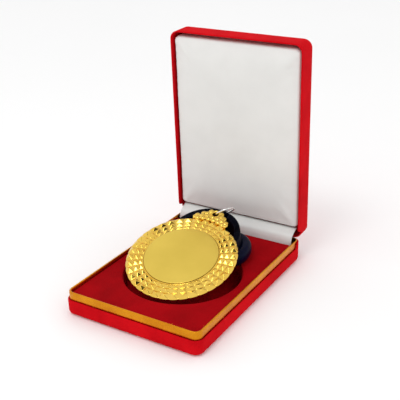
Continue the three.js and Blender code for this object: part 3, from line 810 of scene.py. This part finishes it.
def build_crown():
    """A coronet of overlapping scales in rows, with the eye for the jump ring in its top."""
    parts = []
    for x, y, rx, ry, z in (
        (2.0, 37.5, 2.15, 1.75, -0.85), (6.0, 37.0, 2.15, 1.75, -0.85), (9.9, 35.9, 2.1, 1.75, -0.9),
        (12.6, 36.3, 1.2, 1.9, -1.3), (0.0, 39.9, 2.1, 1.45, -0.95), (4.0, 39.9, 2.15, 1.8, -0.95),
        (7.8, 38.9, 2.1, 1.8, -0.95), (11.2, 38.1, 2.05, 2.1, -1.0), (5.6, 42.3, 2.05, 1.7, -1.0),
        (7.9, 41.4, 2.1, 2.1, -1.05), (4.0, 44.9, 2.0, 2.0, -1.1),
    ):
        for side in (-1, 1) if x else (1,):
            parts.append((side * x, y, z, rx, ry, 1.2, -side * x / 40))
    for x, y in ((1.8, 39.6), (4.8, 40.4), (8.0, 39.0), (10.6, 37.4), (4.7, 43.2), (6.0, 41.6)):
        for side in (-1, 1):
            parts.append((side * x, y, -1.7, 2.3, 2.2, 0.9, 0))
    for i in range(16):
        a = TAU * i / 16
        x, y = 2.95 * math.cos(a), EYE_Y + 2.95 * math.sin(a)
        parts.append((x, y, -1.45, 0.95, 0.95, 0.9, 0))
    bm = sphere_parts(parts)
    mesh = bpy.data.meshes.new("crown_parts")
    bm.to_mesh(mesh)
    bm.free()
    obj = bpy.data.objects.new("crown_parts", mesh)
    bpy.context.scene.collection.objects.link(obj)
    modifier = obj.modifiers.new("even", "REMESH")
    modifier.mode = "VOXEL"
    modifier.voxel_size = 0.2
    modifier = obj.modifiers.new("relax", "SMOOTH")
    modifier.iterations = 2
    modifier.factor = 0.5
    merged = evaluated(obj)
    bpy.data.objects.remove(obj)
    return coords(merged), [tuple(p.vertices) for p in merged.polygons]


points, faces = build_medal_round()
make("medal_round", moved(points, MEDAL), faces, GOLD, "medal", ("medal_body",))
points, faces = build_crown()
points[:, 2] = np.clip(points[:, 2], -2.6, None)
make("medal_crown", moved(points, MEDAL), faces, GOLD, "medal")


def build_disc():
    angles = np.linspace(0, TAU, 160, endpoint=False)

    def circle(radius, z):
        return np.column_stack([np.cos(angles) * radius, np.sin(angles) * radius, np.full(len(angles), z)])

    loops = [circle(r, -1.1) for r in (3, 14, 24.7)] + [circle(24.95, -1.0), circle(24.98, -0.5)]
    loops += [circle(24.93, -0.36), circle(24.75, -0.27), circle(24.4, -0.235)]
    loops += [circle(r, -0.22 + 0.04 * (1 - (r / 24.4) ** 2)) for r in (22, 18, 14, 10, 6, 2)]
    points, faces = loft(loops)
    points = moved(points, MEDAL)
    make("medal_centre", points, faces, GOLD_DISC, "medal", ("medal_centre_disc",))


build_disc()


def build_ring():
    place = (
        MEDAL
        @ Matrix.Translation((0, EYE_Y, RING_Z))
        @ Matrix.Rotation(RING_HEADING, 4, "Z")
        @ Matrix.Rotation(-RING_PITCH, 4, "X")
        @ Matrix.Translation((RING_R, 0, 0))
    )
    loops = []
    gap = math.radians(1.6)
    for t in np.linspace(gap, TAU - gap, 97):
        a = t + math.radians(70)
        row = []
        for s in np.linspace(0, TAU, 18, endpoint=False):
            reach = RING_R + WIRE_R * math.cos(s)
            row.append((math.cos(a) * reach, math.sin(a) * reach, WIRE_R * math.sin(s)))
        loops.append(row)
    points, faces = loft(loops)
    make("split_ring", moved(points, place), faces, NICKEL, "ring", ("jump_ring",))


build_ring()


# ---- Ribbon ----
def build_coil():
    """Five turns of ribbon on edge, leaning with the medal; the inner turns dip where the ring lies."""
    turns, first, last = 5.0, 20.5, 24.85
    count = int(turns * 110)
    lines = []
    for i in range(count + 1):
        t = i / count
        phi = math.radians(250) - TAU * turns * t
        radius = first + (last - first) * t
        loose = noise.noise(Vector((math.cos(phi) * 1.3, math.sin(phi) * 1.3, t * 9))) * 0.22
        loose *= 1 - smooth_step((t - 0.8) / 0.2)
        degrees = (math.degrees(phi) + 180) % 360 - 180
        dip = 4.5 * smooth_step((degrees - 72) / 11) * smooth_step((116 - degrees) / 11)
        dip *= smooth_step((24.1 - radius) / 0.3)
        rise = noise.noise(Vector((math.cos(phi) * 0.9, math.sin(phi) * 0.9, t * 7 + 20))) * 0.35
        rise -= 0.35 + dip
        row = []
        for s in np.linspace(0, 1, 9):
            z = COIL_TOP - RIBBON_W * (1 - s) * (1 - dip * 0.03) + rise * (0.25 + 0.75 * s)
            lean = (radius + loose) * (1 + 0.004 * math.sin(math.pi * s))
            row.append((COIL[0] + lean * math.cos(phi), COIL[1] + lean * math.sin(phi), z))
        lines.append(row)
    lines = np.array(lines)
    lines = moved(lines.reshape(-1, 3), MEDAL).reshape(lines.shape)
    # The roll wears the greyer copy of the ribbon, with painted shade in its colour.
    coil = band("ribbon_roll", lines, 0.24, RIBBON)
    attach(coil, "ribbon")
    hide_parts("ribbon_coil")
    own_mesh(coil)


def build_loose_turn():
    """The ribbon's last turn, sprung out over the pad: it bellies outward and curls in at its foot."""
    centre = (9.0, 22.0)
    lines = []
    section = [(8.0, 0.0), (4.2, 0.15), (1.5, 1.6), (0.2, 4.2)]
    section += [(0.3, 7.4), (1.7, 9.8), (4.4, 11.0), (7.6, 10.6)]
    curve = spline(section, 19)
    for t in np.linspace(0, 1, 90):
        angle = math.radians(68 - 112 * t)
        reach = 23.4 - 2.2 * smooth_step((t - 0.8) / 0.2) - 0.6 * smooth_step((0.12 - t) / 0.12)
        wave = math.sin(t * 9.0) * 0.3
        row = []
        for inward, up in curve:
            r = reach - inward * (0.88 + 0.08 * math.sin(t * 7)) + wave * 0.4
            x, y = centre[0] + r * math.cos(angle), centre[1] + r * math.sin(angle)
            row.append((x, y, PAD_Z + 0.45 + up * (1 - 0.12 * t)))
        lines.append(row)
    turn = band("ribbon_loose_turn", lines, 0.24, RIBBON_FACE)
    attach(turn, "ribbon")
    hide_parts("ribbon_side_loop")
    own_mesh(turn)


build_coil()
build_loose_turn()


# ---- CAD pieces that keep their shape ----
def repaint(node, material):
    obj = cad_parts[node]
    obj.data.materials.clear()
    obj.data.materials.append(material)


# The pocket floor takes the darkened pad velvet: painted shade in the pocket.
repaint("pocket_floor_card", PAD_VELVET_SHADED)
repaint("lid_board", CARD)
for side in ("left", "right"):
    for part in ("hinge_base_leaf", "hinge_pin", "hinge_spring", "hinge_lid_leaf"):
        repaint(f"{part}_{side}", STEEL)


# ---- Floor, light and camera ----
def build_floor():
    mesh = bpy.data.meshes.new("floor")
    r = 6.0
    mesh.from_pydata([(-r, -r, 0), (r, -r, 0), (r, r, 0), (-r, r, 0)], [], [(0, 1, 2, 3)])
    floor = bpy.data.objects.new("floor", mesh)
    bpy.context.scene.collection.objects.link(floor)
    floor.location.z = -0.0002
    white = look("floor_white", (0.97, 0.97, 0.97), 0.9)
    shade(white, noise_field(white, 3, 2), (0.965, 0.965, 0.965), (0.975, 0.975, 0.975))
    mesh.materials.append(white)


def area_light(name, place, target, size, power):
    data = bpy.data.lights.new(name, "AREA")
    data.shape = "RECTANGLE"
    data.size, data.size_y = size
    data.energy = power
    lamp = bpy.data.objects.new(name, data)
    bpy.context.scene.collection.objects.link(lamp)
    lamp.location = place
    lamp.rotation_euler = (Vector(target) - Vector(place)).to_track_quat("-Z", "Y").to_euler()


build_floor()
world = bpy.data.worlds.new("studio")
bpy.context.scene.world = world
world.use_nodes = True
background = world.node_tree.nodes["Background"]
background.inputs["Color"].default_value = (1, 1, 1, 1)


def dim_patch(direction, inner, outer, dark, bright):
    """The sky is one even white with one soft darker patch, as a person bending over the table makes."""
    tree = world.node_tree
    where = tree.nodes.new("ShaderNodeTexCoord")
    facing = tree.nodes.new("ShaderNodeVectorMath")
    facing.operation = "DOT_PRODUCT"
    facing.inputs[1].default_value = Vector(direction).normalized()
    tree.links.new(where.outputs["Generated"], facing.inputs[0])
    span = tree.nodes.new("ShaderNodeMapRange")
    span.interpolation_type = "SMOOTHSTEP"
    span.inputs["From Min"].default_value = math.cos(math.radians(outer))
    span.inputs["From Max"].default_value = math.cos(math.radians(inner))
    span.inputs["To Min"].default_value = bright
    span.inputs["To Max"].default_value = dark
    tree.links.new(facing.outputs["Value"], span.inputs["Value"])
    tree.links.new(span.outputs["Result"], background.inputs["Strength"])


dim_patch((0.215, -0.241, 0.945), 9, 16, 0.04, 1.0)
area_light("key", (-0.03, -0.44, 0.93), (0, 0, 0.03), (0.26, 0.26), 1.5)


def build_camera():
    azimuth, elevation, roll = math.radians(31.487), math.radians(24.044), math.radians(-1.047)
    distance, target = 0.547327, Vector((-0.018185, 0.044648, 0.041072))
    level_reach = math.cos(elevation)
    back = Vector(
        (math.sin(azimuth) * level_reach, -math.cos(azimuth) * level_reach, math.sin(elevation))
    )
    right = Vector((math.cos(azimuth), math.sin(azimuth), 0))
    up = back.cross(right)
    turned = right * math.cos(roll) + up * math.sin(roll)
    level = up * math.cos(roll) - right * math.sin(roll)
    data = bpy.data.cameras.new("camera")
    data.sensor_width = 36
    data.lens = 766.13 / 400 * 36
    data.clip_start = 0.01
    camera = bpy.data.objects.new("camera", data)
    bpy.context.scene.collection.objects.link(camera)
    place = Matrix((turned, level, back)).transposed().to_4x4()
    place.translation = target + back * distance
    camera.matrix_world = place
    bpy.context.scene.camera = camera


build_camera()
bpy.context.scene.view_settings.view_transform = "Standard"
